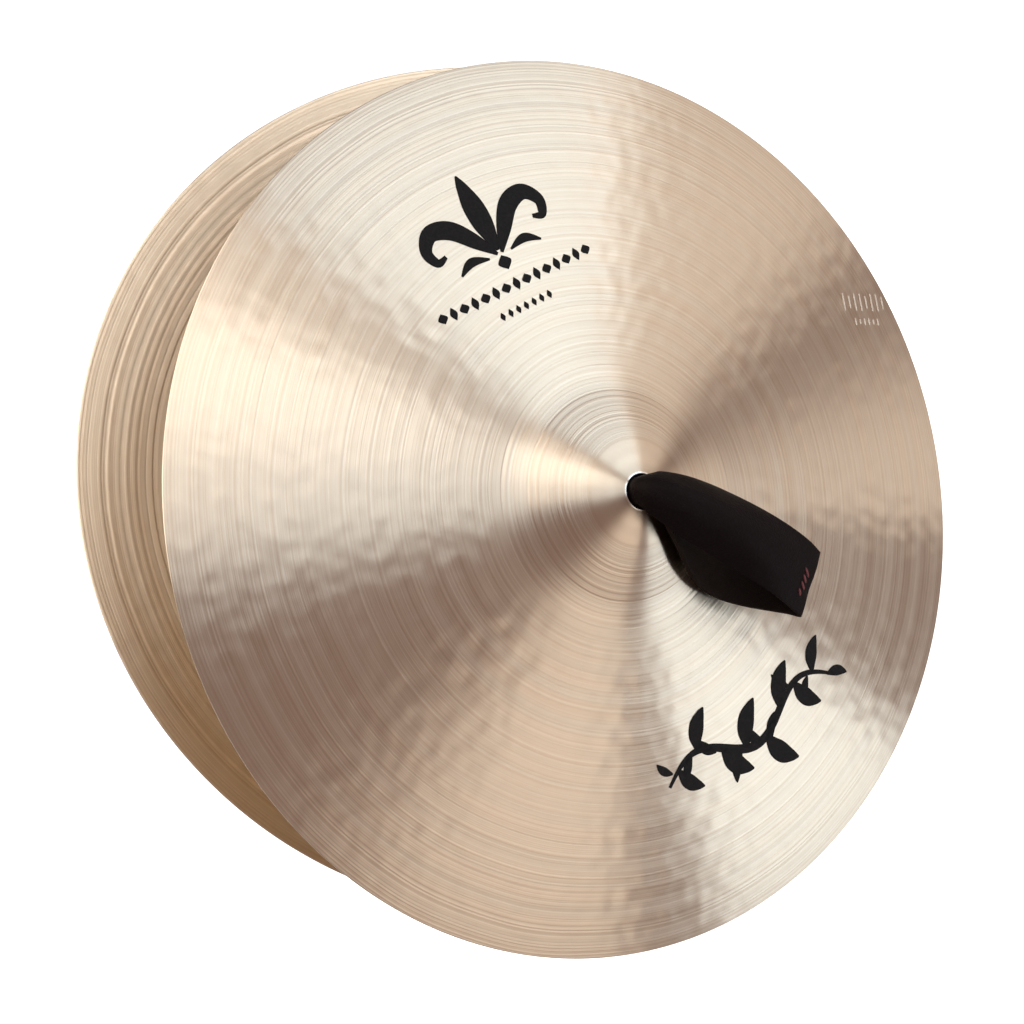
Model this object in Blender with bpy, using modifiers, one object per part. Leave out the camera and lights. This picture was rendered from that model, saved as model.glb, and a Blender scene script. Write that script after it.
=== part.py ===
"""A pair of orchestral hand cymbals, held open like a clam, with a leather hand strap on each plate.

Metres and degrees, +Z up. The origin is the mouth of the front plate's hole. The front plate stands upright
and faces -Y. The rear plate faces +Y and leans back, so the two rims meet at the bottom. Both straps hang.
"""

import math

import bmesh
import bpy
from mathutils import Vector

# Plate: a 16 inch (406.4 mm) bronze cymbal. Heights are above the plane of its rim.
PLATE_RADIUS = 0.2032
HOLE_RADIUS = 0.0075
APEX_HEIGHT = 0.048
DOME_RADIUS = 0.060
FILLET_RADIUS = 0.040
FILLET_START_RADIUS = 0.0464
BELL_SLOPE = 28.0
BOW_SLOPE = 5.0
HUB_THICKNESS = 0.0014
RIM_THICKNESS = 0.0010
TURN_STEPS = 72

# How the pair stands: the rear hub against the front one, and the pivot that stands in for the player's arms.
CLAM_ANGLE = 16.0
REAR_HUB = Vector((0.0137, 0.1460, 0.0010))
CLAM_AXIS = Vector((0.0, 0.0976, -0.1668))

# Strap: one thickness of leather, a wide hand loop, a neck in the hole, a knot and four tails inside the bell.
LEATHER = 0.0026
NECK_RADIUS = 0.0060
FLOP_HEIGHT = 0.0045
LOOP_WIDTH = 0.034
LOOP_ROWS_PER_SPAN = 2
LOOP_COLUMNS = 4
KNOT_RADIUS = 0.013
KNOT_DEPTH = 0.011
KNOT_ROUND = 0.003
KNOT_CLEARANCE = 0.0006
KNOT_STEPS = 24
TAIL_COUNT = 4
TAIL_START = 0.0150
TAIL_END = 0.0720
TAIL_WIDTH = 0.010
TAIL_CLEARANCE = 0.0008
TAIL_ROWS = 10

# The loop seen from its side: how far below the pivot, how far outward from it, how wide there, and how far its
# edges turn in towards the plate. It runs from the neck down the outer layer, round the fold and back up.
LOOP_ROUTE = (
    (0.0076, 0.0032, 0.011, 0.0015),
    (0.0140, 0.0075, 0.016, 0.0022),
    (0.0260, 0.0120, 0.025, 0.0030),
    (0.0400, 0.0146, LOOP_WIDTH, 0.0034),
    (0.0550, 0.0142, LOOP_WIDTH, 0.0030),
    (0.0690, 0.0108, LOOP_WIDTH, 0.0020),
    (0.0810, 0.0055, LOOP_WIDTH, 0.0010),
    (0.0895, 0.0002, LOOP_WIDTH, 0.0),
    (0.0930, -0.0030, LOOP_WIDTH, 0.0),
    (0.0895, -0.0064, LOOP_WIDTH, 0.0),
    (0.0830, -0.0130, LOOP_WIDTH, 0.0),
    (0.0755, -0.0190, LOOP_WIDTH, 0.0),
    (0.0660, -0.0224, LOOP_WIDTH, 0.0),
    (0.0560, -0.0215, LOOP_WIDTH, 0.0),
    (0.0460, -0.0180, LOOP_WIDTH, 0.0),
    (0.0360, -0.0126, 0.030, 0.0),
    (0.0240, -0.0066, 0.023, 0.0),
    (0.0140, -0.0034, 0.016, 0.0),
    (0.0076, -0.0016, 0.011, 0.0),
)

BRONZE = ("bronze", (0.80, 0.68, 0.52), 0.28, 1.0)
GRAIN_LEATHER = ("black_leather", (0.016, 0.013, 0.013), 0.50, 0.0)
KNOT_LEATHER = ("knot_leather", (0.020, 0.016, 0.015), 0.62, 0.0)


def clear_scene():
    for obj in list(bpy.data.objects):
        bpy.data.objects.remove(obj, do_unlink=True)


def new_collection(name):
    collection = bpy.data.collections.new(name)
    bpy.context.scene.collection.children.link(collection)
    return collection


def material(name, colour, roughness, metallic):
    made = bpy.data.materials.new(name)
    made.use_nodes = True
    shader = made.node_tree.nodes["Principled BSDF"]
    shader.inputs["Base Color"].default_value = (*colour, 1.0)
    shader.inputs["Roughness"].default_value = roughness
    shader.inputs["Metallic"].default_value = metallic
    made.diffuse_color = (*colour, 1.0)
    return made


def place(obj, collection, parent, finish=None):
    collection.objects.link(obj)
    obj.parent = parent
    if finish is not None:
        obj.data.materials.append(finish)
    return obj


def pivot(name, collection, location, rotation_deg, parent=None):
    """An empty on a joint's axis, or at a plate's hub. Its local +Z is the plate's outward axis, its -Y is down."""
    empty = bpy.data.objects.new(name, None)
    empty.empty_display_size = 0.03
    empty.location = location
    empty.rotation_euler = [math.radians(angle) for angle in rotation_deg]
    return place(empty, collection, parent)


def arc(start, slope_from, slope_to, radius, steps):
    """(radius, height, slope) points along an arc that starts at start. A negative radius curves the other way."""
    points = []
    for step in range(1, steps + 1):
        first = math.radians(slope_from)
        slope = math.radians(slope_from + (slope_to - slope_from) * step / steps)
        outward = start[0] + radius * (math.sin(slope) - math.sin(first))
        height = start[1] - radius * (math.cos(first) - math.cos(slope))
        points.append((outward, height, slope))
    return points


def plate_line():
    """The plate's outer face from the hole to the rim: dome, straight bell side, fillet, then the bow's long arc."""
    first = math.asin(HOLE_RADIUS / DOME_RADIUS)
    mouth = (HOLE_RADIUS, APEX_HEIGHT - DOME_RADIUS * (1 - math.cos(first)), first)
    line = [mouth]
    line += arc(mouth, math.degrees(first), BELL_SLOPE, DOME_RADIUS, 4)
    side = FILLET_START_RADIUS - line[-1][0]
    slope = math.radians(BELL_SLOPE)
    line.append((FILLET_START_RADIUS, line[-1][1] - side * math.tan(slope), slope))
    line += arc(line[-1], BELL_SLOPE, BOW_SLOPE, -FILLET_RADIUS, 4)
    run = PLATE_RADIUS - line[-1][0]
    rim_slope = 2 * math.degrees(math.atan(line[-1][1] / run)) - BOW_SLOPE
    bow_radius = run / (math.sin(math.radians(rim_slope)) - math.sin(math.radians(BOW_SLOPE)))
    line += arc(line[-1], BOW_SLOPE, rim_slope, bow_radius, 7)
    return line


def plate_thickness(radius):
    """The plate thins evenly from the hub to the rim."""
    return HUB_THICKNESS + (RIM_THICKNESS - HUB_THICKNESS) * radius / PLATE_RADIUS


def inner_line():
    """The plate's inner face under each point of plate_line, square to the outer face."""
    points = []
    for radius, height, slope in plate_line():
        depth = plate_thickness(radius)
        points.append((radius - depth * math.sin(slope), height - depth * math.cos(slope)))
    return points


def inner_height(radius):
    """Height of the plate's inner face at this radius, and its slope there, between the points of inner_line."""
    points = inner_line()
    for near, far in zip(points, points[1:]):
        if near[0] <= radius <= far[0]:
            rise = (far[1] - near[1]) / (far[0] - near[0])
            return near[1] + rise * (radius - near[0]), math.atan(-rise)
    raise ValueError("the radius is off the plate")


def hub_height():
    return plate_line()[0][1]


def turned(name, outline, closed, steps):
    """A solid of revolution about local Z. The outline runs down its outer side, top to bottom."""
    count = len(outline)
    mesh = bpy.data.meshes.new(name)
    edges = [(i, i + 1) for i in range(count - 1)]
    if closed:
        edges.append((count - 1, 0))
    mesh.from_pydata([(radius, 0.0, height) for radius, height in outline], edges, [])
    obj = bpy.data.objects.new(name, mesh)
    screw = obj.modifiers.new("turn", "SCREW")
    screw.angle = math.tau
    screw.steps = steps
    screw.render_steps = steps
    screw.use_merge_vertices = True
    screw.merge_threshold = 0.00001
    screw.use_smooth_shade = True
    return obj


def cymbal(name):
    """The plate in its hub's frame: the hole's mouth at the origin, the outer face towards +Z."""
    hub = hub_height()
    outer = [(radius, height - hub) for radius, height, _ in plate_line()]
    inner = [(radius, height - hub) for radius, height in inner_line()]
    inner[0] = (HOLE_RADIUS, inner[0][1])
    return turned(name, outer + inner[::-1], True, TURN_STEPS)


def knot(name):
    """The neck that fills the hole, round at the loop's pivot, and the knot below it that can't pass the hole."""
    hub = hub_height()
    outline = []
    for step in range(7):
        angle = math.radians(90 * step / 6)
        outline.append((NECK_RADIUS * math.sin(angle), FLOP_HEIGHT + NECK_RADIUS * math.cos(angle)))
    shoulder = inner_height(KNOT_RADIUS)[0] - hub - KNOT_CLEARANCE
    foot = shoulder - KNOT_DEPTH
    outline.append((NECK_RADIUS, shoulder))
    for centre, first in ((shoulder - KNOT_ROUND, 0), (foot + KNOT_ROUND, 90)):
        for step in range(4):
            angle = math.radians(first + 30 * step)
            across = KNOT_RADIUS - KNOT_ROUND + KNOT_ROUND * math.sin(angle)
            outline.append((across, centre + KNOT_ROUND * math.cos(angle)))
    outline.append((0.0, foot))
    return turned(name, outline, False, KNOT_STEPS)


def smooth_route(points, per_span):
    """Points along a Catmull-Rom curve through the given ones."""
    made = []
    last = len(points) - 1
    for i in range(last):
        a, b = Vector(points[max(i - 1, 0)]), Vector(points[i])
        c, d = Vector(points[i + 1]), Vector(points[min(i + 2, last)])
        for step in range(per_span):
            t = step / per_span
            made.append(
                b
                + (c - a) * (t / 2)
                + (2 * a - 5 * b + 4 * c - d) * (t * t / 2)
                + (3 * b - a - 3 * c + d) * (t**3 / 2)
            )
    return made + [Vector(points[last])]


def leather_strip(name, rows):
    """A strip of leather from its middle surface: rows of points across it, thickened evenly to both sides."""
    shape = bmesh.new()
    lines = [[shape.verts.new(point) for point in row] for row in rows]
    for near, far in zip(lines, lines[1:]):
        for i in range(len(near) - 1):
            shape.faces.new((near[i], near[i + 1], far[i + 1], far[i]))
    mesh = bpy.data.meshes.new(name)
    shape.to_mesh(mesh)
    shape.free()
    obj = bpy.data.objects.new(name, mesh)
    thick = obj.modifiers.new("leather", "SOLIDIFY")
    thick.thickness = LEATHER
    thick.offset = 0.0
    mesh.shade_smooth()
    mesh.set_sharp_from_angle(angle=math.radians(40))
    return obj


def hand_loop(name):
    """The hand loop in its pivot's frame: down is -Y, outward is +Z, and its width is along X."""
    rows = []
    for down, out, width, turn_in in smooth_route(LOOP_ROUTE, LOOP_ROWS_PER_SPAN):
        row = []
        for column in range(LOOP_COLUMNS + 1):
            share = 2 * column / LOOP_COLUMNS - 1
            row.append((share * width / 2, -down, out - turn_in * share**2))
        rows.append(row)
    return leather_strip(name, rows)


def tail(name, turn_deg):
    """One slit end of the strap, from the knot outward along the inside of the bell, with a tapered tip."""
    hub = hub_height()
    turn = math.radians(turn_deg)
    along = Vector((math.cos(turn), math.sin(turn), 0.0))
    across = Vector((-math.sin(turn), math.cos(turn), 0.0))
    rows = []
    for step in range(TAIL_ROWS + 1):
        share = step / TAIL_ROWS
        radius = TAIL_START + (TAIL_END - TAIL_START) * share
        face, slope = inner_height(radius)
        height = face - hub - (LEATHER / 2 + TAIL_CLEARANCE) / math.cos(slope)
        half = TAIL_WIDTH / 2 * (1 - 0.55 * share**6)
        middle = along * radius + Vector((0.0, 0.0, height))
        rows.append([middle - across * half, middle, middle + across * half])
    return leather_strip(name, rows)


def build_side(side, collection, seat, loop_seat, finishes):
    """One cymbal with its strap. seat is at its hub, and loop_seat is on the axis that its hand loop swings on."""
    bronze, grain, tied = finishes
    place(cymbal(f"{side}_cymbal"), collection, seat, bronze)
    place(knot(f"{side}_strap_knot"), collection, seat, tied)
    for number in range(TAIL_COUNT):
        turn = 45 + 360 * number / TAIL_COUNT
        place(tail(f"{side}_strap_tail_{number + 1}", turn), collection, seat, tied)
    place(hand_loop(f"{side}_strap_loop"), collection, loop_seat, grain)


def main():
    clear_scene()
    collection = new_collection("hand_cymbals")
    finishes = [material(*BRONZE), material(*GRAIN_LEATHER), material(*KNOT_LEATHER)]

    front_seat = pivot("front_hub", collection, (0, 0, 0), (90, 0, 0))
    front_swing = pivot("front_loop_axis", collection, (0, 0, FLOP_HEIGHT), (0, 0, 0), front_seat)
    build_side("front", collection, front_seat, front_swing, finishes)

    clam = pivot("clam_axis", collection, CLAM_AXIS, (0, 0, 0))
    rear_seat = pivot("rear_hub", collection, REAR_HUB - CLAM_AXIS, (90 + CLAM_ANGLE, 0, 180), clam)
    # The rear loop hangs straight down, so it stands off its leaning plate by the clam's angle.
    rear_swing = pivot("rear_loop_axis", collection, (0, 0, FLOP_HEIGHT), (-CLAM_ANGLE, 0, 0), rear_seat)
    build_side("rear", collection, rear_seat, rear_swing, finishes)


main()
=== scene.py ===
"""The looks of a pair of hand cymbals: turned and hammered bronze plates with knotted leather hand straps.

Metres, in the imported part's frame: the origin is the mouth of the front plate's hole, -Y is the way the front
plate faces, and +Z is up. Each plate and strap is modelled in its hub's own frame, with +Z outward from the
plate's outer face and -Y down, and is then placed at its hub.
"""

import math

import bmesh
import bpy
import numpy as np
from mathutils import Euler, Matrix, Vector

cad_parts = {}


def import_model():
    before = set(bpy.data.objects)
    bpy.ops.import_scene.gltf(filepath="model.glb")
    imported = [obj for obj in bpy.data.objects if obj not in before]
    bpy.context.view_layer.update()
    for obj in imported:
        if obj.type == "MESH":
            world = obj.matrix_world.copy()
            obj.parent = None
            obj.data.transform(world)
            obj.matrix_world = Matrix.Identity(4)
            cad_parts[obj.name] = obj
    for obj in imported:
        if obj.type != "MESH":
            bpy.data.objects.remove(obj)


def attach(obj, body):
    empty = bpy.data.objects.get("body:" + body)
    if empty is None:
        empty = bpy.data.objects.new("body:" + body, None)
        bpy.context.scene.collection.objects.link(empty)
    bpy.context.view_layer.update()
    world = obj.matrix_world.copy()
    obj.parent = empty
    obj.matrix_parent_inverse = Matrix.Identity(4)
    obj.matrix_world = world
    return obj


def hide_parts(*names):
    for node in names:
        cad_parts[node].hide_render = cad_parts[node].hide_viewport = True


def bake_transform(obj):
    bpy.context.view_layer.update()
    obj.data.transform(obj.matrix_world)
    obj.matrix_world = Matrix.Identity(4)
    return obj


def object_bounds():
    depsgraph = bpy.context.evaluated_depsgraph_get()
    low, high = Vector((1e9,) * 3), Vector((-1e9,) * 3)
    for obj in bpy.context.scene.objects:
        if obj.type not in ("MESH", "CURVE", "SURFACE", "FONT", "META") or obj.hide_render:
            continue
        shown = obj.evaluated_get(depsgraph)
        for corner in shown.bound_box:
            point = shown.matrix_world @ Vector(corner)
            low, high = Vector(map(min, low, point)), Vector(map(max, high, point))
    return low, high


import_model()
cad_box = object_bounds()

# The two hubs: place, and turn about X then Z. The rear plate leans back by the clam's angle.
CLAM_ANGLE = 16.0
HUBS = {
    "front": (Vector((0.0, 0.0, 0.0)), (90.0, 0.0, 0.0)),
    "rear": (Vector((0.0137, 0.1460, 0.0010)), (90.0 + CLAM_ANGLE, 0.0, 180.0)),
}

# The plate's profile, as in the part: a domed bell, a hollow fillet and a long shallow bow.
PLATE_RADIUS = 0.2032
HOLE_RADIUS = 0.0075
APEX_HEIGHT = 0.048
DOME_RADIUS = 0.060
FILLET_RADIUS = 0.040
FILLET_START_RADIUS = 0.0464
BELL_SLOPE = 28.0
BOW_SLOPE = 5.0
HUB_THICKNESS = 0.0014
RIM_THICKNESS = 0.0010
TURN_STEPS = 320
LIP_ROWS = 10
OUTER_ROWS = 325
INNER_ROWS = 255
CHAMFER = 0.0003
LIP_RADIUS = 0.0081
LIP_WIDTH = 0.0004
LIP_RISE = 0.00013
RIM_ROUND = 0.0005
# Hammer marks lie in rings on the bow, about as far apart round a ring as the rings are from each other. Each
# strays off its ring, and round the ring by a share of the step.
HAMMER_RINGS = (0.0700, 0.1900, 0.0105)
HAMMER_STEP = 0.0100
HAMMER_SIZE = 0.0030
HAMMER_DEPTH = 0.000045
HAMMER_STRAY = 0.0012
HAMMER_UNEVEN = 0.16
# The least and the greatest share of its usual size and depth that a hammer mark or a groove has.
MARK_SIZES = (0.8, 1.25)
MARK_DEPTHS = (0.2, 1.3)
GROOVE_WIDTHS = (0.8, 1.2)
GROOVE_DEPTHS = (0.45, 1.2)
# Lathe work: where each run starts and ends, how far apart its grooves are, and how deep they are.
OUTER_GROOVES = ((0.0250, 0.0575, 0.0023, 0.00005), (0.0590, 0.2015, 0.0034, 0.00003))
OUTER_BANDS = ((0.0250, 0.0575, 0.0060, 0.00005), (0.0590, 0.2010, 0.0105, 0.00005))
INNER_GROOVES = (
    (0.0150, 0.0560, 0.0040, 0.00015),
    (0.0600, 0.1890, 0.0038, 0.00022),
    (0.1890, 0.2005, 0.0034, 0.00007),
)
# Rings that stand out on the bell: radius, width and depth.
BELL_RINGS = (
    (0.0243, 0.0004, 0.00008),
    (0.0455, 0.0005, 0.00010),
    (0.0474, 0.0005, 0.00010),
    (0.0584, 0.0008, 0.00015),
)

# Strap: where its loop pivots above the hole's mouth, and how its leather is cut.
FLOP_HEIGHT = 0.0045
LEATHER = 0.0022
STRAP_COLUMNS = 28
STRAP_ROWS_PER_SPAN = 7
EDGE_WEAR = 0.0005
# Pleats: half waves across half of the strap, how far they are shifted, and how much they fade to its edges.
PLEAT_WAVES = 2.6
PLEAT_SHIFT = 0.35
PLEAT_FADE = 0.4
# Creases: how deep they are, how wide the strap must be for that, and how fast they turn across it and along
# it and come and go along it.
CREASE_DEPTH = 0.00022
CREASE_WIDTH = 0.03
CREASE_TURNS = (5.1, 37.0, 23.0)
# How much narrower the strap looks from outside where its edges turn in.
CUP_NARROWING = 0.9
# The strap seen from its side, from the hole along the outer layer, round the fold and back to the hole: how
# far below the pivot, how far outward from it, how wide, how far its edges turn in, how deep its pleats are,
# and how far it drifts to one side.
STRAP_ROUTE = (
    (-0.0061, -0.0130, 0.0138, 0.0052, 0.0, 0.0),
    (-0.0061, -0.0080, 0.0140, 0.0052, 0.0, 0.0),
    (-0.0061, -0.0040, 0.0142, 0.0053, 0.0, 0.0),
    (-0.0059, 0.0004, 0.0152, 0.0056, 0.0, 0.0),
    (-0.0028, 0.0056, 0.0186, 0.0064, 0.0001, 0.0),
    (0.0035, 0.0092, 0.0226, 0.0074, 0.0002, 0.0),
    (0.0105, 0.0118, 0.0258, 0.0086, 0.0003, 0.0),
    (0.0190, 0.0137, 0.0286, 0.0098, 0.0003, 0.0),
    (0.0290, 0.0149, 0.0304, 0.0104, 0.0002, 0.0),
    (0.0410, 0.0152, 0.0312, 0.0098, 0.0001, -0.0004),
    (0.0550, 0.0142, 0.0314, 0.0078, 0.0001, -0.0012),
    (0.0690, 0.0110, 0.0314, 0.0048, 0.0, -0.0022),
    (0.0815, 0.0058, 0.0312, 0.0018, 0.0, -0.0030),
    (0.0905, 0.0003, 0.0310, 0.0003, 0.0, -0.0033),
    (0.0942, -0.0030, 0.0310, 0.0, 0.0, -0.0033),
    (0.0903, -0.0064, 0.0312, 0.0, 0.0, -0.0034),
    (0.0835, -0.0130, 0.0322, 0.0, 0.0, -0.0036),
    (0.0755, -0.0190, 0.0336, 0.0002, 0.0, -0.0040),
    (0.0660, -0.0224, 0.0350, 0.0006, 0.0, -0.0045),
    (0.0560, -0.0215, 0.0358, 0.0010, 0.0001, -0.0047),
    (0.0460, -0.0180, 0.0354, 0.0014, 0.0002, -0.0045),
    (0.0360, -0.0126, 0.0328, 0.0018, 0.0003, -0.0038),
    (0.0250, -0.0068, 0.0262, 0.0020, 0.0004, -0.0024),
    (0.0160, -0.0034, 0.0200, 0.0022, 0.0003, -0.0012),
    (0.0100, -0.0012, 0.0160, 0.0026, 0.0002, -0.0004),
    (0.0070, -0.0020, 0.0144, 0.0034, 0.0001, 0.0),
    (0.0056, -0.0050, 0.0136, 0.0046, 0.0, 0.0),
    (0.0054, -0.0090, 0.0134, 0.0050, 0.0, 0.0),
    (0.0054, -0.0130, 0.0134, 0.0050, 0.0, 0.0),
)
# Stitches on the outer layer near the fold: how far down, and how far across, each one's two ends are.
STITCHES = (
    ((0.0850, -0.0002), (0.0890, -0.0024)),
    ((0.0846, -0.0034), (0.0886, -0.0056)),
    ((0.0842, -0.0066), (0.0882, -0.0088)),
    ((0.0838, -0.0098), (0.0878, -0.0120)),
)
THREAD = 0.0013
# The neck bends with the loop's swing between these distances from the hole's mouth, measured mostly down and
# partly out.
BEND_LINE = (0.866, 0.5)
BEND_START = 0.0045
BEND_END = 0.0270

# Knot and tails behind the hole: four tails woven in a square, over a first layer woven the same way.
TAIL_COUNT = 4
TAIL_WIDTH = 0.0100
TAIL_TIP = 0.0715
TAIL_CLEARANCE = 0.0007
TAIL_ROWS = 25
TAIL_WANDER = 0.0008
TAIL_TAPER = 0.6
BAND_COLUMNS = 8
BAND_ROWS_PER_SPAN = 5
BAND_ROUND = 0.0004
KNOT_TURN = 45.0
# How far along the tail, how far to its side, and how deep below the inner face of the bell.
TAIL_ROUTE = (
    (-0.0100, 0.0050, 0.0062),
    (-0.0055, 0.0050, 0.0066),
    (0.0000, 0.0050, 0.0078),
    (0.0055, 0.0050, 0.0090),
    (0.0105, 0.0048, 0.0084),
    (0.0165, 0.0038, 0.0060),
    (0.0225, 0.0020, 0.0034),
    (0.0290, 0.0006, 0.0021),
)
UNDER_ROUTE = (
    (-0.0105, -0.0050, 0.0022),
    (-0.0055, -0.0050, 0.0018),
    (0.0000, -0.0050, 0.0030),
    (0.0055, -0.0050, 0.0041),
    (0.0105, -0.0050, 0.0030),
)

# Ornaments on the outer face, in the plate's own plane: middle, and the way that their rows run. The tulip
# and the vine are printed, and the stamp is etched.
TULIP_AT = ((0.0683, 0.0780), (0.761, -0.648))
VINE_AT = ((-0.0665, -0.1085), (0.791, -0.612))
STAMP_AT = ((0.1510, -0.1060), (0.470, -0.880))
INK_LIFT = 0.00010
INK_THICKNESS = 0.00006
STROKE_ROWS_PER_SPAN = 8
STROKE_LEAST = 0.00008

# Bronze: its colours in the rings' dips, darker as painted shade, and on their crests; a near-white painted
# highlight on the polished lip; and how wide, how finely and how deeply it is marked. Distances are metres, and
# the counts are per metre.
BRONZE_DIP_SHADE_AND_CREST_COLOURS = ((0.80, 0.645, 0.475, 1), (0.90, 0.765, 0.59, 1))
# The lip's near-white colour is a painted highlight. Only its lower roughness is real polish.
LIP_HIGHLIGHT_COLOUR = (0.97, 0.94, 0.88, 1)
ROUGHNESS_RANGE = (0.285, 0.33)
LIP_ROUGHNESS = 0.4
INSIDE_ROUGHNESS = 1.15
SMOOTH_HUB = (0.0235, 0.0255)
BEATEN_FROM = (0.056, 0.075)
HUB_SHARE = 0.10
RING_WANDER = 0.0012
WANDERS = 24.0
FINE_RINGS = 760.0
BROAD_RINGS = 150.0
BROAD_SHARE = 0.4
# The ring heights over which the colour goes from the dips' painted shade to the crests' own colour.
RING_SHADES = (0.45, 0.95)
RING_BUMP = 0.00013
BLOWS = 118.0
BLOW_BUMP = 0.00016
INK_COLOURS = ((0.0055, 0.0048, 0.0050, 1), (0.012, 0.010, 0.009, 1))
ETCHED_COLOURS = ((0.86, 0.76, 0.62, 1), (0.97, 0.90, 0.78, 1))
GRAIN_BUMP = 0.0004

# Camera
CAMERA_AT = Vector((-0.3318, -0.9176, 0.4830))
CAMERA_RIGHT = Vector((0.3166, -0.4827, -0.8166))
CAMERA_UP = Vector((0.9059, -0.1013, 0.4111))
CAMERA_LENS = 87.9
SENSOR_WIDTH = 36.0

# Soft boxes: the stretch round the plate that they light, in degrees, how far they fade in and out there, the
# tilts of the grooves' sides that they light, how brightly, and their colour.
COOL = (0.735, 0.898, 1.052)
PLAIN = (1.0, 0.98, 0.95)
LIGHTS = (
    ("key", (18, 80), (14, 8), (2, 34), 1.64, COOL),
    ("key_low", (212, 255), (4, 8), (2, 34), 1.64, COOL),
    ("side", (84, 133), (8, 15), (4, 30), 1.25, COOL),
    ("streak", (72, 98), (6, 6), (16, 34), 0.45, PLAIN),
    ("edge", (86, 112), (8, 10), (20, 38), 0.95, PLAIN),
    ("over", (76, 126), (8, 12), (36, 66), 1.70, PLAIN),
    ("fill", (330, 392), (24, 8), (2, 34), 0.66, PLAIN),
    ("fill_low", (152, 204), (28, 3), (2, 34), 0.84, PLAIN),
    ("rim_low", (284, 336), (5, 34), (4, 34), 0.62, PLAIN),
)
# One more lights only the rear plate, whose hollow side the front plate would leave dark.
REAR_WASH = ((66, 142), (16, 22), (10, 32), 1.40, PLAIN)
# The same boxes light the back, turned half way round this upright line.
BACK_TURN = Vector((0.0068, 0.0730, 0.0))
BACK_SHARE = 0.85
SOFT_BOX_STEPS = 32
TILT_FADES = (2.0, 6.0)
# The room's light, the light overhead behind the object, and where the first turns into the second.
ROOM = (0.23, 0.165, 0.155, 1)
OVERHEAD = (0.95, 0.98, 1.0, 1)
OVERHEAD_FROM = (("Y", 0.15, 0.65), ("Z", -0.35, 0.75))
BACKDROP = (0.99, 0.99, 0.99, 1)
FLOOR_HALF = 30.0
FLOOR_GAP = 0.0002
FLOOR_GLOW = 0.95
SEEDS = {"front": 7, "rear": 70}


# ---------------------------------------------------------------- profile

def arc(start, slope_from, slope_to, radius, steps):
    """(radius, height) points along an arc that starts at start. A negative radius curves the other way."""
    points = []
    first = math.radians(slope_from)
    for step in range(1, steps + 1):
        slope = math.radians(slope_from + (slope_to - slope_from) * step / steps)
        outward = start[0] + radius * (math.sin(slope) - math.sin(first))
        height = start[1] - radius * (math.cos(first) - math.cos(slope))
        points.append((outward, height))
    return points


def plate_line():
    """The plate's outer face from the hole to the rim: dome, straight bell side, fillet, then the bow."""
    first = math.degrees(math.asin(HOLE_RADIUS / DOME_RADIUS))
    line = [(HOLE_RADIUS, APEX_HEIGHT - DOME_RADIUS * (1 - math.cos(math.radians(first))))]
    line += arc(line[0], first, BELL_SLOPE, DOME_RADIUS, 24)
    side = FILLET_START_RADIUS - line[-1][0]
    line.append((FILLET_START_RADIUS, line[-1][1] - side * math.tan(math.radians(BELL_SLOPE))))
    line += arc(line[-1], BELL_SLOPE, BOW_SLOPE, -FILLET_RADIUS, 24)
    run = PLATE_RADIUS - line[-1][0]
    rim_slope = 2 * math.degrees(math.atan(line[-1][1] / run)) - BOW_SLOPE
    bow_radius = run / (math.sin(math.radians(rim_slope)) - math.sin(math.radians(BOW_SLOPE)))
    line += arc(line[-1], BOW_SLOPE, rim_slope, bow_radius, 60)
    return np.array(line)


LINE = plate_line()
LINE[:, 1] -= LINE[0, 1]
SLOPES = np.arctan(-np.gradient(LINE[:, 1], LINE[:, 0]))


def outer_face(radius):
    """Height and slope of the outer face at this radius, in the hub's frame."""
    return np.interp(radius, LINE[:, 0], LINE[:, 1]), np.interp(radius, LINE[:, 0], SLOPES)


def thickness(radius):
    return HUB_THICKNESS + (RIM_THICKNESS - HUB_THICKNESS) * radius / PLATE_RADIUS


# ---------------------------------------------------------------- plate relief

def lathe_grooves(radius, zones, seed):
    """Depth of the cut at each radius. Each zone is a run of round-bottomed grooves of uneven size."""
    rng = np.random.default_rng(seed)
    depth = np.zeros_like(radius)
    for start, end, pitch, cut in zones:
        edge = start
        while edge < end:
            width = pitch * rng.uniform(*GROOVE_WIDTHS)
            amount = cut * rng.uniform(*GROOVE_DEPTHS)
            inside = (radius >= edge) & (radius < edge + width)
            depth[inside] += amount * np.sin(math.pi * (radius[inside] - edge) / width) ** 2
            edge += width
    return depth


def hammer_marks(x, y, seed):
    """Shallow round dimples in rings over the bow, none quite in line with the next."""
    rng = np.random.default_rng(seed)
    total = np.zeros_like(x)
    for ring in np.arange(*HAMMER_RINGS):
        count = int(math.tau * ring / HAMMER_STEP)
        first = rng.uniform(0, math.tau)
        for number in range(count):
            radius = ring + rng.normal(0, HAMMER_STRAY)
            turn = first + math.tau * (number + rng.normal(0, HAMMER_UNEVEN)) / count
            spread = HAMMER_SIZE * rng.uniform(*MARK_SIZES)
            deep = HAMMER_DEPTH * rng.uniform(*MARK_DEPTHS)
            cx, cy = radius * math.cos(turn), radius * math.sin(turn)
            near = (np.abs(x - cx) < 3 * spread) & (np.abs(y - cy) < 3 * spread)
            away = (x[near] - cx) ** 2 + (y[near] - cy) ** 2
            total[near] += deep * np.exp(-away / (2 * spread**2))
    return total


def ring_mark(radius, at, width, deep):
    return deep * np.exp(-(((radius - at) / width) ** 2))


def turned_grid(radius, height, turns, relief=0.0):
    """Points round the axis for each radius and height, with the relief cut down into them."""
    x = radius[:, None] * np.cos(turns)
    y = radius[:, None] * np.sin(turns)
    z = np.repeat(height[:, None], len(turns), 1) - relief
    return np.stack([x, y, z], axis=-1)


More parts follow.
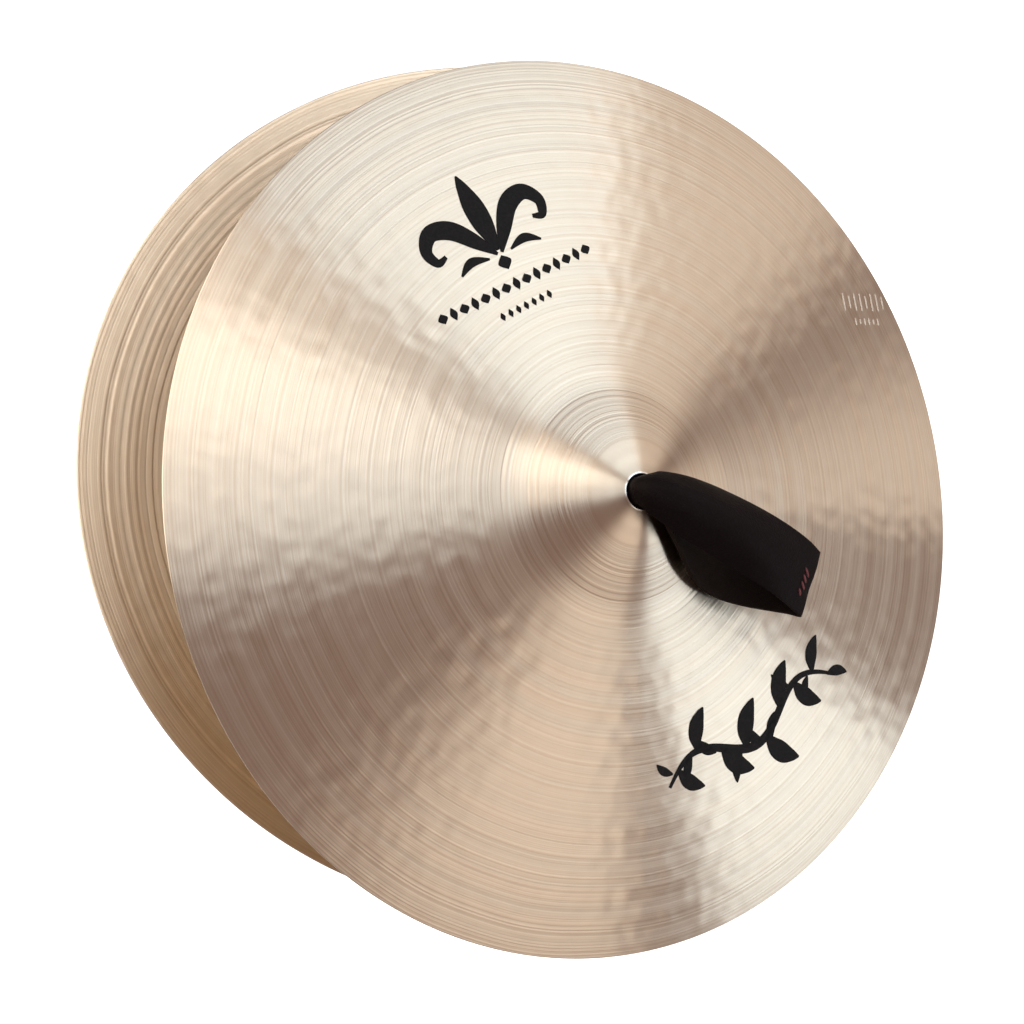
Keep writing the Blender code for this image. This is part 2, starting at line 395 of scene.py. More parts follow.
def plate_mesh(name, points, inside_rows, hub):
    """A closed surface from a grid of points, rows by turns. Its last row and turn meet the first.

    It is moved to its hub, and keeps each point's place in the hub's frame and the way the lathe turned it.
    The last inside_rows are the hollow side.
    """
    rows, turns = points.shape[:2]
    here = np.arange(rows * turns).reshape(rows, turns)
    after = np.roll(here, -1, axis=1)
    faces = np.stack([here, after, np.roll(after, -1, axis=0), np.roll(here, -1, axis=0)], axis=-1)
    mesh = bpy.data.meshes.new(name)
    flat = points.reshape(-1, 3)
    mesh.from_pydata(flat.tolist(), [], faces.reshape(-1, 4).tolist())
    mesh.shade_smooth()
    turn = np.array(hub.to_3x3())
    way = np.stack([-flat[:, 1], flat[:, 0], 0 * flat[:, 0]], axis=-1)
    way /= np.linalg.norm(way, axis=1)[:, None]
    for layer, values in (("hub_place", flat), ("turned_way", way @ turn.T)):
        mesh.attributes.new(layer, "FLOAT_VECTOR", "POINT").data.foreach_set("vector", values.ravel())
    inside = (here >= (rows - inside_rows) * turns).astype(float)
    mesh.attributes.new("inside", "FLOAT", "POINT").data.foreach_set("value", inside.ravel())
    mesh.transform(hub)
    return mesh


def mouth_grid(turns):
    """The rounded edge of the hole."""
    angle = np.radians(np.array([90, 60, 30]))
    radius = HOLE_RADIUS + CHAMFER * (1 - np.sin(angle))
    height = outer_face(HOLE_RADIUS)[0] - CHAMFER * (1 - np.cos(angle))
    return turned_grid(radius, height, turns)


def outer_grid(turns, seed):
    """The outer face from the hole's lip, painted with a highlight, to the rim, with its lathe and hammer work.
    """
    lip_end = LIP_RADIUS + 2 * LIP_WIDTH
    lip = np.linspace(HOLE_RADIUS + CHAMFER, lip_end, LIP_ROWS, endpoint=False)
    radius = np.concatenate([lip, np.linspace(lip_end, PLATE_RADIUS - RIM_ROUND, OUTER_ROWS)])
    height, _ = outer_face(radius)
    cut = lathe_grooves(radius, OUTER_GROOVES, seed)
    cut += lathe_grooves(radius, OUTER_BANDS, seed + 3)
    for at, width, deep in BELL_RINGS:
        cut += ring_mark(radius, at, width, deep)
    cut -= ring_mark(radius, LIP_RADIUS, LIP_WIDTH, LIP_RISE)
    x = radius[:, None] * np.cos(turns)
    y = radius[:, None] * np.sin(turns)
    return turned_grid(radius, height, turns, cut[:, None] + hammer_marks(x, y, seed + 1))


def rim_grid(turns):
    """The rounded rim, from the outer face to the hollow side."""
    edge_z, edge_slope = outer_face(PLATE_RADIUS - RIM_ROUND)
    half = RIM_THICKNESS / 2
    centre_r = PLATE_RADIUS - RIM_ROUND - half * math.sin(edge_slope)
    centre_z = edge_z - half * math.cos(edge_slope)
    angle = math.pi / 2 - edge_slope - np.radians(np.array([30, 70, 110, 150]))
    return turned_grid(centre_r + half * np.cos(angle), centre_z + half * np.sin(angle), turns)


def inner_grid(turns, seed):
    """The hollow side, from the rim to the hole."""
    at = np.linspace(PLATE_RADIUS - RIM_ROUND, HOLE_RADIUS + CHAMFER, INNER_ROWS)
    face, slope = outer_face(at)
    depth = thickness(at)
    radius = at - depth * np.sin(slope)
    radius[-1] = max(radius[-1], HOLE_RADIUS)
    cut = lathe_grooves(radius, INNER_GROOVES, seed + 2)
    return turned_grid(radius, face - depth * np.cos(slope), turns, -cut[:, None])


def plate(name, seed, hub):
    """One plate as a closed surface of revolution with its lathe grooves, hammer marks and rounded edges."""
    turns = np.linspace(0, math.tau, TURN_STEPS, endpoint=False)
    grids = (mouth_grid(turns), outer_grid(turns, seed), rim_grid(turns), inner_grid(turns, seed))
    return bpy.data.objects.new(name, plate_mesh(name, np.concatenate(grids), INNER_ROWS, hub))


# ---------------------------------------------------------------- strap

def smooth_route(points, per_span):
    """Points along a Catmull-Rom curve through the given ones."""
    points = np.array(points)
    made = []
    last = len(points) - 1
    for i in range(last):
        a, b, c, d = points[max(i - 1, 0)], points[i], points[i + 1], points[min(i + 2, last)]
        for step in range(per_span):
            t = step / per_span
            made.append(
                b
                + (c - a) * (t / 2)
                + (2 * a - 5 * b + 4 * c - d) * (t * t / 2)
                + (3 * b - a - 3 * c + d) * (t**3 / 2)
            )
    return np.array(made + [points[last]])


def strip_mesh(name, rows, leather):
    """A strip of leather from rows of points across it. Its far side and edges take their own materials."""
    shape = bmesh.new()
    lines = [[shape.verts.new(point) for point in row] for row in rows]
    for near, far in zip(lines, lines[1:]):
        for i in range(len(near) - 1):
            shape.faces.new((near[i], far[i], far[i + 1], near[i + 1]))
    mesh = bpy.data.meshes.new(name)
    shape.to_mesh(mesh)
    shape.free()
    obj = bpy.data.objects.new(name, mesh)
    thick = obj.modifiers.new("leather", "SOLIDIFY")
    thick.thickness = leather
    thick.offset = 0.0
    thick.material_offset = 1
    thick.material_offset_rim = 2
    edge = obj.modifiers.new("worn_edges", "BEVEL")
    edge.width = EDGE_WEAR
    edge.segments = 2
    edge.limit_method = "ANGLE"
    edge.angle_limit = math.radians(50)
    edge.material = 2
    mesh.shade_smooth()
    return obj


def bend_share(down, out):
    """How far a point is along the bending neck, from 0 at the hole to 1 where the loop is stiff."""
    reach = BEND_LINE[0] * down + BEND_LINE[1] * (out + FLOP_HEIGHT)
    share = np.clip((reach - BEND_START) / (BEND_END - BEND_START), 0, 1)
    return share * share * (3 - 2 * share)


def strap_rows(lean_deg):
    """The strap's middle surface in its hub's frame. Its loop leans by lean_deg from the plate's own down."""
    route = smooth_route(STRAP_ROUTE, STRAP_ROWS_PER_SPAN)
    run = np.gradient(route[:, :2], axis=0)
    run /= np.linalg.norm(run, axis=1)[:, None]
    share = np.linspace(-1, 1, STRAP_COLUMNS + 1)
    across_turn, along_turn, strength_turn = CREASE_TURNS
    rows = []
    for index, ((down, out, width, cup, pleat, drift), (run_down, run_out)) in enumerate(zip(route, run)):
        along = index / (len(route) - 1)
        folds = pleat * np.cos(math.pi * (PLEAT_WAVES * share + PLEAT_SHIFT)) * (1 - PLEAT_FADE * share**2)
        crease = CREASE_DEPTH * min(1.0, width / CREASE_WIDTH)
        creases = crease * np.sin(across_turn * share + along_turn * along) * math.sin(strength_turn * along)
        inward = cup * share**2 + folds + creases
        narrowed = 1 - CUP_NARROWING * (cup / width) ** 2
        x = share * width / 2 * narrowed + drift
        y = -(down + run_out * inward)
        z = out - run_down * inward
        turn = math.radians(lean_deg) * bend_share(-y, z)
        turned_y = y * np.cos(turn) - z * np.sin(turn)
        turned_z = y * np.sin(turn) + z * np.cos(turn)
        rows.append(np.stack([x, turned_y, turned_z + FLOP_HEIGHT], axis=-1))
    return rows


def apply_modifiers(obj):
    """The object with the mesh that its modifiers make, and none left on it."""
    bpy.context.view_layer.update()
    graph = bpy.context.evaluated_depsgraph_get()
    mesh = bpy.data.meshes.new_from_object(obj.evaluated_get(graph))
    obj.modifiers.clear()
    obj.data = mesh
    return obj


def leather_piece(name, side, body, rows, leathers, node):
    obj = add(strip_mesh(name, rows, LEATHER))
    for leather in leathers:
        obj.data.materials.append(leather)
    apply_modifiers(obj)
    obj.data.transform(hub_matrix(side))
    if body is not None:
        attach(obj, body)
    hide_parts(node)
    return obj


def strap(side, leathers):
    lean = 0.0 if side == "front" else -CLAM_ANGLE
    obj = leather_piece(
        f"{side}_strap", side, None, strap_rows(lean), leathers, f"{side}_strap_loop"
    )
    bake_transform(obj)


def stitches(side, material):
    """Short threads that lie on the outer layer."""
    lean = 0.0 if side == "front" else -CLAM_ANGLE
    route = smooth_route(STRAP_ROUTE, STRAP_ROWS_PER_SPAN)
    outer = np.array(strap_rows(lean))[: len(route) // 2]
    down = route[: len(route) // 2, 0]
    shape = bmesh.new()
    for ends in STITCHES:
        places = []
        for far, across in ends:
            row = int(np.argmin(np.abs(down - far)))
            line = outer[row]
            column = int(np.argmin(np.abs(line[:, 0] - across)))
            step_down = Vector(outer[row + 1][column] - outer[row - 1][column])
            step_across = Vector(line[column + 1] - line[column - 1])
            normal = step_across.cross(step_down).normalized()
            if normal.z < 0:
                normal.negate()
            places.append(Vector(line[column]) + normal * (LEATHER / 2 + THREAD * 0.15))
        run = places[1] - places[0]
        turn = run.to_track_quat("X", "Z").to_matrix().to_4x4()
        size = Matrix.Diagonal((run.length / 2, THREAD / 2, THREAD / 2, 1))
        middle = Matrix.Translation((places[0] + places[1]) / 2)
        bmesh.ops.create_icosphere(shape, subdivisions=3, radius=1, matrix=middle @ turn @ size)
    mesh = bpy.data.meshes.new(f"{side}_stitches")
    shape.to_mesh(mesh)
    shape.free()
    mesh.shade_smooth()
    mesh.transform(hub_matrix(side))
    obj = add(bpy.data.objects.new(f"{side}_stitches", mesh), material)
    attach(obj, f"{side}_loop")


def inner_height(radius):
    face, slope = outer_face(max(radius, HOLE_RADIUS))
    return float(face - thickness(radius) / math.cos(slope)), float(slope)


def band_rows(route, turn_deg, tip):
    """A flat band under the bell, woven as the route says. It follows the bell's inside to any tip."""
    turn = math.radians(turn_deg)
    along = np.array((math.cos(turn), math.sin(turn)))
    side = np.array((-math.sin(turn), math.cos(turn)))
    middle = [(reach, off, depth, 1.0) for reach, off, depth in smooth_route(route, BAND_ROWS_PER_SPAN)]
    if tip is not None:
        last = middle[-1]
        for reach in np.linspace(last[0], tip, TAIL_ROWS + 1)[1:]:
            share = (reach - last[0]) / (tip - last[0])
            off = last[1] * (1 - share) + TAIL_WANDER * math.sin(5 * share)
            middle.append((reach, off, TAIL_CLEARANCE + LEATHER / 2, 1 - TAIL_TAPER * share**7))
    across = np.linspace(-1, 1, BAND_COLUMNS + 1)
    rows = []
    for reach, off, depth, full in middle:
        half = TAIL_WIDTH / 2 * full
        row = []
        for share in across:
            spot = along * reach + side * (off + share * half)
            face, slope = inner_height(float(np.hypot(*spot)))
            lift = BAND_ROUND * (1 - share**2)
            row.append((spot[0], spot[1], face - (depth + lift) / math.cos(slope)))
        rows.append(row)
    return rows


def knot_and_tails(side, leathers):
    turns = [KNOT_TURN + 360 * number / TAIL_COUNT for number in range(TAIL_COUNT)]
    for number, turn in enumerate(turns, 1):
        name = f"{side}_strap_tail_{number}"
        rows = band_rows(TAIL_ROUTE, turn, TAIL_TIP)
        leather_piece(f"{side}_tail_{number}", side, f"{side}_knot", rows, leathers, name)
    for number in range(TAIL_COUNT):
        turn = 360 * number / TAIL_COUNT
        rows = band_rows(UNDER_ROUTE, turn, None)
        name = f"{side}_knot_weave_{number + 1}"
        leather_piece(name, side, f"{side}_knot", rows, leathers, f"{side}_strap_knot")


# ---------------------------------------------------------------- ornaments

def ribbon(shape, route, across=5):
    """Adds a flat stroke to the shape: a smooth line through (x, y, width) points."""
    line = smooth_route(route, STROKE_ROWS_PER_SPAN)
    run = np.gradient(line[:, :2], axis=0)
    run /= np.linalg.norm(run, axis=1)[:, None] + 1e-12
    rows = []
    for (x, y, width), (run_x, run_y) in zip(line, run):
        half = max(width, STROKE_LEAST) / 2
        rows.append([(x - run_y * half * t, y + run_x * half * t) for t in np.linspace(-1, 1, across)])
    lines = [[shape.verts.new((x, y, 0)) for x, y in row] for row in rows]
    for near, far in zip(lines, lines[1:]):
        for i in range(across - 1):
            shape.faces.new((near[i], far[i], far[i + 1], near[i + 1]))


def leaf(shape, x, y, angle_deg, length, width, bend=0.0):
    """A pointed leaf that starts at x, y."""
    turn = math.radians(angle_deg)
    route = []
    for t in (0.0, 0.12, 0.35, 0.6, 0.85, 1.0):
        off = bend * length * math.sin(math.pi * t)
        fx = x + length * t * math.cos(turn) - off * math.sin(turn)
        fy = y + length * t * math.sin(turn) + off * math.cos(turn)
        route.append((fx, fy, width * math.sin(math.pi * min(1, 0.04 + 0.94 * t)) ** 0.9))
    ribbon(shape, route)


def lozenge(shape, x, y, width, height):
    ribbon(shape, ((x, y - height / 2, 0), (x, y, width), (x, y + height / 2, 0)))


def tulip(shape):
    """An open flower with two curled petals and a small foot, over two rows of lozenges."""
    leaf(shape, 0.0, 0.0165, 90, 0.0370, 0.0110)
    for way in (-1, 1):
        petal = (
            (0.0012, 0.0150, 0.0015),
            (0.0080, 0.0240, 0.0070),
            (0.0165, 0.0330, 0.0088),
            (0.0260, 0.0352, 0.0075),
            (0.0318, 0.0290, 0.0056),
            (0.0295, 0.0225, 0.0040),
            (0.0245, 0.0235, 0.0018),
        )
        ribbon(shape, [(way * x, y, width) for x, y, width in petal])
        small = ((0.0060, 0.0145, 0.0010), (0.0150, 0.0165, 0.0042), (0.0225, 0.0128, 0.0010))
        ribbon(shape, [(way * x, y, width) for x, y, width in small])
    lozenge(shape, 0, 0.0105, 0.0070, 0.0070)
    for i in range(15):
        small = i % 2
        lozenge(shape, (i - 7) * 0.0058, 0.0, 0.0036 if small else 0.0050, 0.0062 if small else 0.0048)
    for i in range(7):
        lozenge(shape, -0.0010 + (i - 3) * 0.0044, -0.0105, 0.0024, 0.0040)


def vine(shape):
    """A running stem with leaves on both sides."""
    half, wave = 0.0520, 0.0075

    def stem_at(t):
        return -half + 2 * half * t, wave * math.sin(math.tau * 1.5 * t)

    stem = [(*stem_at(i / 18), 0.0016 + 0.0028 * math.sin(math.pi * i / 18)) for i in range(19)]
    ribbon(shape, stem)
    for i in range(8):
        t = (i + 0.6) / 8.3
        x, y = stem_at(t)
        size = 0.0150 + 0.0080 * math.sin(math.pi * t)
        way = 1 if i % 2 else -1
        leaf(shape, x, y, 55 * way, size, size * 0.42, 0.12 * way)
        leaf(shape, x - 0.0035, y, -125 * way, size * 0.6, size * 0.24, -0.1 * way)
    leaf(shape, half - 0.0010, 0.0, -25, 0.0130, 0.0052, 0.1)


def stamp(shape):
    """Two rows of upright dashes, etched near the rim."""
    for count, gap, height, middle in ((8, 0.0040, 0.0085, 0.0035), (6, 0.0032, 0.0034, -0.0062)):
        for i in range(count):
            x = (i - (count - 1) / 2) * gap
            half = height * (0.75 if i % 3 == 1 else 1.0) / 2
            dash = ((x, middle - half, 0.0009), (x, middle, 0.0011), (x, middle + half, 0.0009))
            ribbon(shape, dash, across=3)


def ornament(name, side, draw, at, material):
    """A thin layer that lies on the plate's outer face."""
    (middle_x, middle_y), (right_x, right_y) = at
    size = math.hypot(right_x, right_y)
    right_x, right_y = right_x / size, right_y / size
    shape = bmesh.new()
    draw(shape)
    for vert in shape.verts:
        x = middle_x + vert.co.x * right_x - vert.co.y * right_y
        y = middle_y + vert.co.x * right_y + vert.co.y * right_x
        vert.co = (x, y, float(outer_face(math.hypot(x, y))[0]) + INK_LIFT)
    bmesh.ops.recalc_face_normals(shape, faces=shape.faces)
    mesh = bpy.data.meshes.new(name)
    shape.to_mesh(mesh)
    shape.free()
    obj = bpy.data.objects.new(name, mesh)
    layer = obj.modifiers.new("layer", "SOLIDIFY")
    layer.thickness = INK_THICKNESS
    layer.offset = 1.0
    add(obj, material)
    apply_modifiers(obj)
    obj.data.transform(hub_matrix(side))
    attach(obj, f"{side}_cymbal")


# ---------------------------------------------------------------- materials

def new_material(name):
    made = bpy.data.materials.new(name)
    made.use_nodes = True
    return made, made.node_tree.nodes, made.node_tree.links, made.node_tree.nodes["Principled BSDF"]


class Wires:
    """Short calls for a material's nodes. Each takes numbers or outputs, and returns an output."""

    def __init__(self, name):
        self.material, self.nodes, self.links, self.shader = new_material(name)

    def put(self, socket, value):
        if isinstance(value, bpy.types.NodeSocket):
            self.links.new(value, socket)
        elif value is not None:
            socket.default_value = value

    def math(self, operation, first, second=None):
        node = self.nodes.new("ShaderNodeMath")
        node.operation = operation
        for socket, value in zip(node.inputs, (first, second)):
            self.put(socket, value)
        return node.outputs[0]

    def rescale(self, value, low, high, to_low, to_high):
        node = self.nodes.new("ShaderNodeMapRange")
        self.put(node.inputs["Value"], value)
        for name, number in (("From Min", low), ("From Max", high), ("To Min", to_low), ("To Max", to_high)):
            node.inputs[name].default_value = number
        return node.outputs["Result"]

    def noise(self, vector=None, w=None, scale=1.0, detail=2.0):
        """Noise over a place, or along a line when it is given w."""
        node = self.nodes.new("ShaderNodeTexNoise")
        node.noise_dimensions = "1D" if vector is None else "3D"
        self.put(node.inputs["W" if vector is None else "Vector"], w if vector is None else vector)
        node.inputs["Scale"].default_value = scale
        node.inputs["Detail"].default_value = detail
        return node.outputs[0]

    def mix(self, factor, first, second):
        node = self.nodes.new("ShaderNodeMix")
        node.data_type = "RGBA"
        self.put(node.inputs["Factor"], factor)
        self.put(node.inputs[6], first)
        self.put(node.inputs[7], second)
        return node.outputs[2]

    def place(self):
        return self.nodes.new("ShaderNodeTexCoord").outputs["Object"]

    def layer(self, name, kind="Vector"):
        node = self.nodes.new("ShaderNodeAttribute")
        node.attribute_name = name
        return node.outputs[kind]

    def split(self, vector):
        node = self.nodes.new("ShaderNodeSeparateXYZ")
        self.put(node.inputs[0], vector)
        return node.outputs[0], node.outputs[1], node.outputs[2]

    def bump(self, height, distance, normal=None):
        node = self.nodes.new("ShaderNodeBump")
        node.inputs["Distance"].default_value = distance
        self.put(node.inputs["Height"], height)
        self.put(node.inputs["Normal"], normal)
        return node.outputs[0]


def bronze():
    """Turned bronze: a smoother hub, fine rings of uneven strength, and soft hammer marks. Its colour paints
    shade into the rings' dips and a near-white highlight onto the hole's lip.
    """
    wires = Wires("turned_bronze")
    shader = wires.shader
    shader.inputs["Metallic"].default_value = 1.0
    shader.inputs["Anisotropic"].default_value = 0.96
    shader.inputs["Anisotropic Rotation"].default_value = 0.25
    turned_way = wires.nodes.new("ShaderNodeVectorTransform")
    turned_way.vector_type = "VECTOR"
    turned_way.convert_from = "OBJECT"
    turned_way.convert_to = "WORLD"
    wires.put(turned_way.inputs[0], wires.layer("turned_way"))
    wires.put(shader.inputs["Tangent"], turned_way.outputs[0])

    place = wires.layer("hub_place")
    x, y, _ = wires.split(place)
    radius = wires.math("SQRT", wires.math("ADD", wires.math("MULTIPLY", x, x), wires.math("MULTIPLY", y, y)))
    turned = wires.rescale(radius, *SMOOTH_HUB, HUB_SHARE, 1.0)
    bowed = wires.rescale(radius, *BEATEN_FROM, 0.0, 1.0)
    # The hole's lip is really polished, so it is smoother. It is also painted near-white as a highlight.
    polished_and_highlit = wires.rescale(radius, LIP_RADIUS, LIP_RADIUS + 2 * LIP_WIDTH, 1.0, 0.0)

    wander = wires.math("MULTIPLY", wires.noise(place, scale=WANDERS, detail=0.0), RING_WANDER)
    ring_at = wires.math("ADD", radius, wander)
    fine = wires.noise(w=wires.math("MULTIPLY", ring_at, FINE_RINGS), detail=1.0)
    broad = wires.noise(w=wires.math("MULTIPLY", ring_at, BROAD_RINGS), detail=0.0)
    both = wires.math("ADD", fine, wires.math("MULTIPLY", broad, BROAD_SHARE))
    rings = wires.math("MULTIPLY", both, turned)

    blows = wires.noise(place, scale=BLOWS, detail=0.0)
    beaten = wires.math("MULTIPLY", blows, bowed)

    # Lower ring heights, the grooves' dips, get the darker colour: painted shade in the grooves.
    shade = wires.rescale(rings, *RING_SHADES, 0.0, 1.0)
    colour = wires.mix(shade, *BRONZE_DIP_SHADE_AND_CREST_COLOURS)
    # Base colour: painted shade in the rings' dips, and a painted highlight on the lip.
    wires.put(shader.inputs["Base Color"], wires.mix(polished_and_highlit, colour, LIP_HIGHLIGHT_COLOUR))
    rough = wires.rescale(broad, 0.3, 0.7, *ROUGHNESS_RANGE)
    rough = wires.math("MULTIPLY", rough, wires.rescale(polished_and_highlit, 0, 1, 1.0, LIP_ROUGHNESS))
    coarser = wires.rescale(wires.layer("inside", "Fac"), 0, 1, 1.0, INSIDE_ROUGHNESS)
    wires.put(shader.inputs["Roughness"], wires.math("MULTIPLY", rough, coarser))
    wires.put(shader.inputs["Normal"], wires.bump(rings, RING_BUMP, wires.bump(beaten, BLOW_BUMP)))
    return wires.material


def leather(name, colour, roughness, bump, scale):
    made, nodes, links, shader = new_material(name)
    shader.inputs["Base Color"].default_value = (*colour, 1)
    shader.inputs["Roughness"].default_value = roughness
    shader.inputs["Specular IOR Level"].default_value = 0.10
    shader.inputs["Specular Tint"].default_value = (1.0, 0.80, 0.72, 1)
    place = nodes.new("ShaderNodeTexCoord")
    grain = nodes.new("ShaderNodeTexVoronoi")
    grain.inputs["Scale"].default_value = scale
    links.new(place.outputs["Object"], grain.inputs["Vector"])
    relief = nodes.new("ShaderNodeBump")
    relief.inputs["Strength"].default_value = bump
    relief.inputs["Distance"].default_value = GRAIN_BUMP
    links.new(grain.outputs["Distance"], relief.inputs["Height"])
    links.new(relief.outputs["Normal"], shader.inputs["Normal"])
    return made


def ink():
    wires = Wires("black_ink")
    shader = wires.shader
    shader.inputs["Specular IOR Level"].default_value = 0.10
    worn = wires.noise(wires.place(), scale=900.0, detail=2.0)
    wires.put(shader.inputs["Base Color"], wires.mix(wires.rescale(worn, 0.35, 0.75, 0.0, 1.0), *INK_COLOURS))
    wires.put(shader.inputs["Roughness"], wires.rescale(worn, 0.3, 0.7, 0.5, 0.65))
    return wires.material


def etched():
    wires = Wires("etched_metal")
    shader = wires.shader
    shader.inputs["Metallic"].default_value = 1.0
    frost = wires.noise(wires.place(), scale=2500.0, detail=1.0)
    wires.put(shader.inputs["Base Color"], wires.mix(frost, *ETCHED_COLOURS))
    wires.put(shader.inputs["Roughness"], wires.rescale(frost, 0.3, 0.7, 0.55, 0.75))
    return wires.material


# ---------------------------------------------------------------- placing

def hub_matrix(side):
    place, turn = HUBS[side]
    return Matrix.Translation(place) @ Euler([math.radians(angle) for angle in turn]).to_matrix().to_4x4()


def add(obj, material=None, matrix=None):
    bpy.context.scene.collection.objects.link(obj)
    if matrix is not None:
        obj.matrix_world = matrix
    if material is not None:
        obj.data.materials.append(material)
    return obj


def build_side(side, finishes, seed):
    made = add(plate(f"{side}_plate", seed, hub_matrix(side)), finishes["metal"])
    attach(made, f"{side}_cymbal")
    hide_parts(f"{side}_cymbal")
    leathers = finishes["leathers"]
    strap(side, leathers)
    knot_and_tails(side, leathers)
    stitches(side, finishes["thread"])
    ornament(f"{side}_tulip", side, tulip, TULIP_AT, finishes["ink"])
    ornament(f"{side}_vine", side, vine, VINE_AT, finishes["ink"])
    ornament(f"{side}_stamp", side, stamp, STAMP_AT, finishes["etched"])


# ---------------------------------------------------------------- camera, floor and light

def camera():
    data = bpy.data.cameras.new("camera")
    data.lens = CAMERA_LENS
    data.sensor_width = SENSOR_WIDTH
    back = CAMERA_RIGHT.cross(CAMERA_UP)
    turn = Matrix((CAMERA_RIGHT, CAMERA_UP, back)).transposed().to_4x4()
    obj = add(bpy.data.objects.new("camera", data), matrix=Matrix.Translation(CAMERA_AT) @ turn)
    bpy.context.scene.camera = obj


def mirrored(azimuth, tilt, eye):
    """The direction that a groove's side mirrors to the eye, in front of the front plate.

    azimuth is the groove's place round the plate, from +X towards +Z. tilt is how far its side leans outward.
    """
    turn, lean = math.radians(azimuth), math.radians(tilt)
    out = Vector((math.cos(turn), 0, math.sin(turn)))
    half = (Vector((0, -1, 0)) * math.cos(lean) + out * math.sin(lean)).normalized()
    return 2 * eye.dot(half) * half - eye


def fade(at, start, end, start_fade, end_fade):
    share = min((at - start) / start_fade, (end - at) / end_fade, 1.0)
    share = max(share, 0.0)
    return share * share * (3 - 2 * share)


def glow_sheet(name, azimuths, fades, tilts, behind):
    """A sheet whose sides follow radial lines of the plate, with each point's share of the light."""
    eye = CAMERA_AT.normalized()
    steps = SOFT_BOX_STEPS
    shape = bmesh.new()
    glow = shape.verts.layers.float.new("glow")
    lines = []
    for i in range(steps + 1):
        tilt = tilts[0] + (tilts[1] - tilts[0]) * i / steps
        line = []
        for j in range(steps + 1):
            azimuth = azimuths[0] + (azimuths[1] - azimuths[0]) * j / steps
            point = mirrored(azimuth, tilt, eye) * CAMERA_AT.length
            if behind:
                away = point - BACK_TURN
                point = BACK_TURN + Vector((-away.x, -away.y, away.z))
            vert = shape.verts.new(point)
            vert[glow] = fade(azimuth, *azimuths, *fades) * fade(tilt, *tilts, *TILT_FADES)
            line.append(vert)
        lines.append(line)
    for near, far in zip(lines, lines[1:]):
        for i in range(steps):
            shape.faces.new((near[i], near[i + 1], far[i + 1], far[i]))
    mesh = bpy.data.meshes.new(name)
    shape.to_mesh(mesh)
    shape.free()
    return mesh


def glow_material(name, radiance, colour):
    """Light by the sheet's own share of it, added to what shows through."""
    made, nodes, links, shader = new_material(name)
    nodes.remove(shader)
    share = nodes.new("ShaderNodeAttribute")
    share.attribute_name = "glow"
    scaled = nodes.new("ShaderNodeMath")
    scaled.operation = "MULTIPLY"
    scaled.inputs[1].default_value = radiance
    links.new(share.outputs["Fac"], scaled.inputs[0])
    lit = nodes.new("ShaderNodeEmission")
    lit.inputs["Color"].default_value = (*colour, 1)
    links.new(scaled.outputs[0], lit.inputs["Strength"])
    clear = nodes.new("ShaderNodeBsdfTransparent")
    both = nodes.new("ShaderNodeAddShader")
    links.new(lit.outputs[0], both.inputs[0])
    links.new(clear.outputs[0], both.inputs[1])
    links.new(both.outputs[0], nodes["Material Output"].inputs["Surface"])
    return made


def soft_box(name, azimuths, fades, tilts, radiance, colour, behind):
    """A clear glowing sheet that lights a wedge from the hub. The camera doesn't see it."""
    mesh = glow_sheet(name, azimuths, fades, tilts, behind)
    obj = add(bpy.data.objects.new(name, mesh), glow_material(name, radiance, colour))
    obj.visible_camera = False
    return obj


def rear_wash():
    """A soft box for the rear plate alone, because the front plate keeps most light from its hollow side."""
    lit = bpy.data.collections.new("rear_wash_lights")
    lit.objects.link(bpy.data.objects["rear_plate"])
    soft_box("rear_wash", *REAR_WASH, behind=False).light_linking.receiver_collection = lit


def lights():
    for name, azimuths, fades, tilts, radiance, colour in LIGHTS:
        soft_box(name, azimuths, fades, tilts, radiance, colour, behind=False)
        soft_box(f"{name}_back", azimuths, fades, tilts, radiance * BACK_SHARE, colour, behind=True)
    rear_wash()


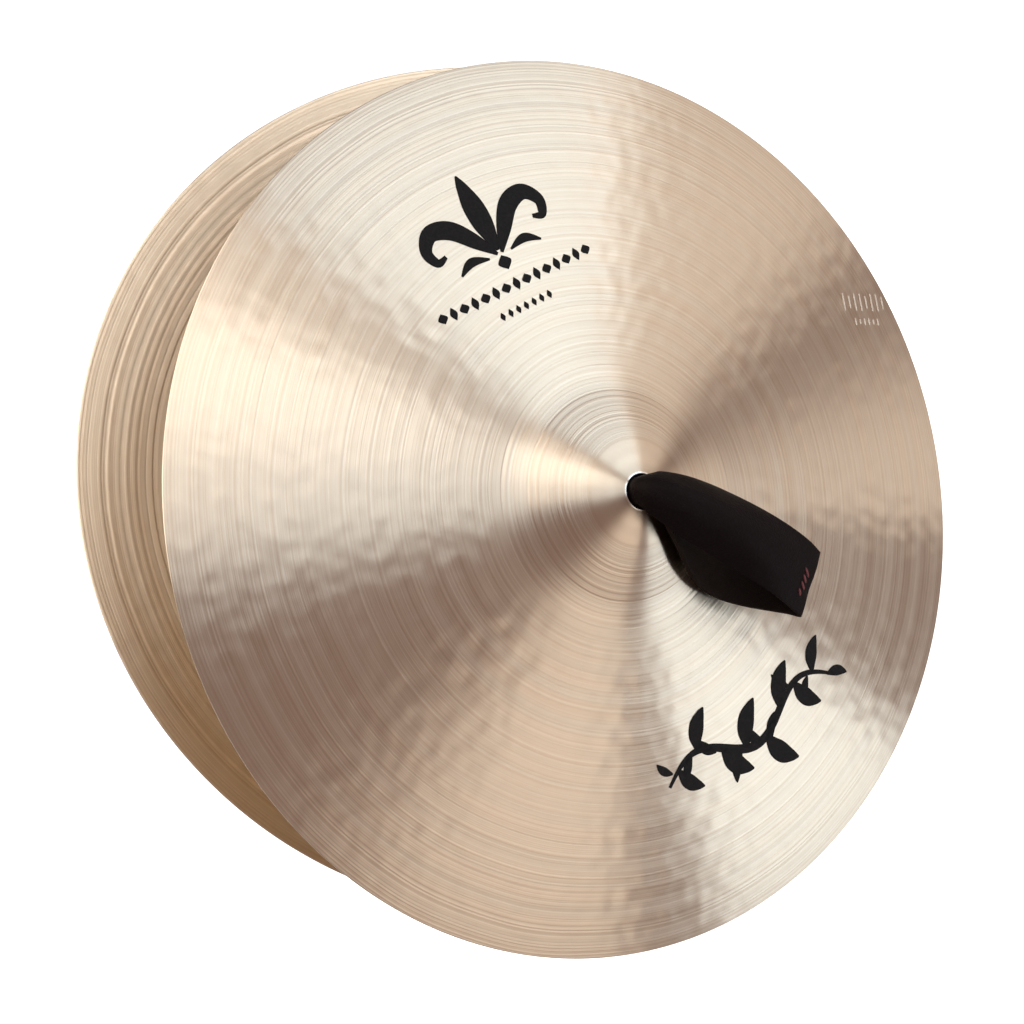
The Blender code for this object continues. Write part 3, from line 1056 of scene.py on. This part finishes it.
def world():
    """A dim warm room that is brighter overhead behind the object, and white where the camera sees it."""
    made = bpy.data.worlds.new("studio")
    bpy.context.scene.world = made
    made.use_nodes = True
    nodes, links = made.node_tree.nodes, made.node_tree.links
    way = nodes.new("ShaderNodeSeparateXYZ")
    links.new(nodes.new("ShaderNodeTexCoord").outputs["Generated"], way.inputs[0])
    shares = []
    for axis, low, high in OVERHEAD_FROM:
        ramp = nodes.new("ShaderNodeMapRange")
        ramp.interpolation_type = "SMOOTHSTEP"
        ramp.inputs["From Min"].default_value = low
        ramp.inputs["From Max"].default_value = high
        links.new(way.outputs[axis], ramp.inputs["Value"])
        shares.append(ramp.outputs["Result"])
    overhead = nodes.new("ShaderNodeMath")
    overhead.operation = "MULTIPLY"
    links.new(shares[0], overhead.inputs[0])
    links.new(shares[1], overhead.inputs[1])
    room = nodes.new("ShaderNodeMix")
    room.data_type = "RGBA"
    room.inputs[6].default_value = ROOM
    room.inputs[7].default_value = OVERHEAD
    links.new(overhead.outputs[0], room.inputs["Factor"])
    ground = nodes["Background"]
    links.new(room.outputs[2], ground.inputs["Color"])
    seen = nodes.new("ShaderNodeBackground")
    seen.inputs["Color"].default_value = BACKDROP
    mix = nodes.new("ShaderNodeMixShader")
    path = nodes.new("ShaderNodeLightPath")
    links.new(path.outputs["Is Camera Ray"], mix.inputs["Fac"])
    links.new(ground.outputs["Background"], mix.inputs[1])
    links.new(seen.outputs["Background"], mix.inputs[2])
    links.new(mix.outputs["Shader"], nodes["World Output"].inputs["Surface"])


def floor():
    """A white floor just under the object. The metal doesn't mirror it, and it casts no shadow."""
    height = cad_box[0][2] - FLOOR_GAP
    corners = [(x * FLOOR_HALF, y * FLOOR_HALF, height) for x, y in ((-1, -1), (1, -1), (1, 1), (-1, 1))]
    mesh = bpy.data.meshes.new("floor")
    mesh.from_pydata(corners, [], [(0, 1, 2, 3)])
    obj = add(bpy.data.objects.new("floor", mesh))
    made, _, _, shader = new_material("floor_white")
    shader.inputs["Base Color"].default_value = (0.9, 0.9, 0.9, 1)
    shader.inputs["Roughness"].default_value = 1.0
    shader.inputs["Emission Color"].default_value = (1, 1, 1, 1)
    shader.inputs["Emission Strength"].default_value = FLOOR_GLOW
    obj.data.materials.append(made)
    obj.visible_glossy = False
    obj.visible_shadow = False


bpy.context.scene.view_settings.view_transform = "Standard"
finishes = {
    "metal": bronze(),
    "ink": ink(),
    "etched": etched(),
    "thread": leather("red_thread", (0.115, 0.036, 0.038), 0.8, 0.4, 2500),
    "leathers": (
        leather("grain_leather", (0.0034, 0.0020, 0.0023), 0.55, 0.35, 900),
        leather("suede_lining", (0.0100, 0.0070, 0.0058), 0.95, 0.5, 1500),
        leather("raw_edge", (0.0090, 0.0058, 0.0042), 0.85, 0.5, 1200),
    ),
}
for side, seed in SEEDS.items():
    build_side(side, finishes, seed)
camera()
lights()
world()
floor()
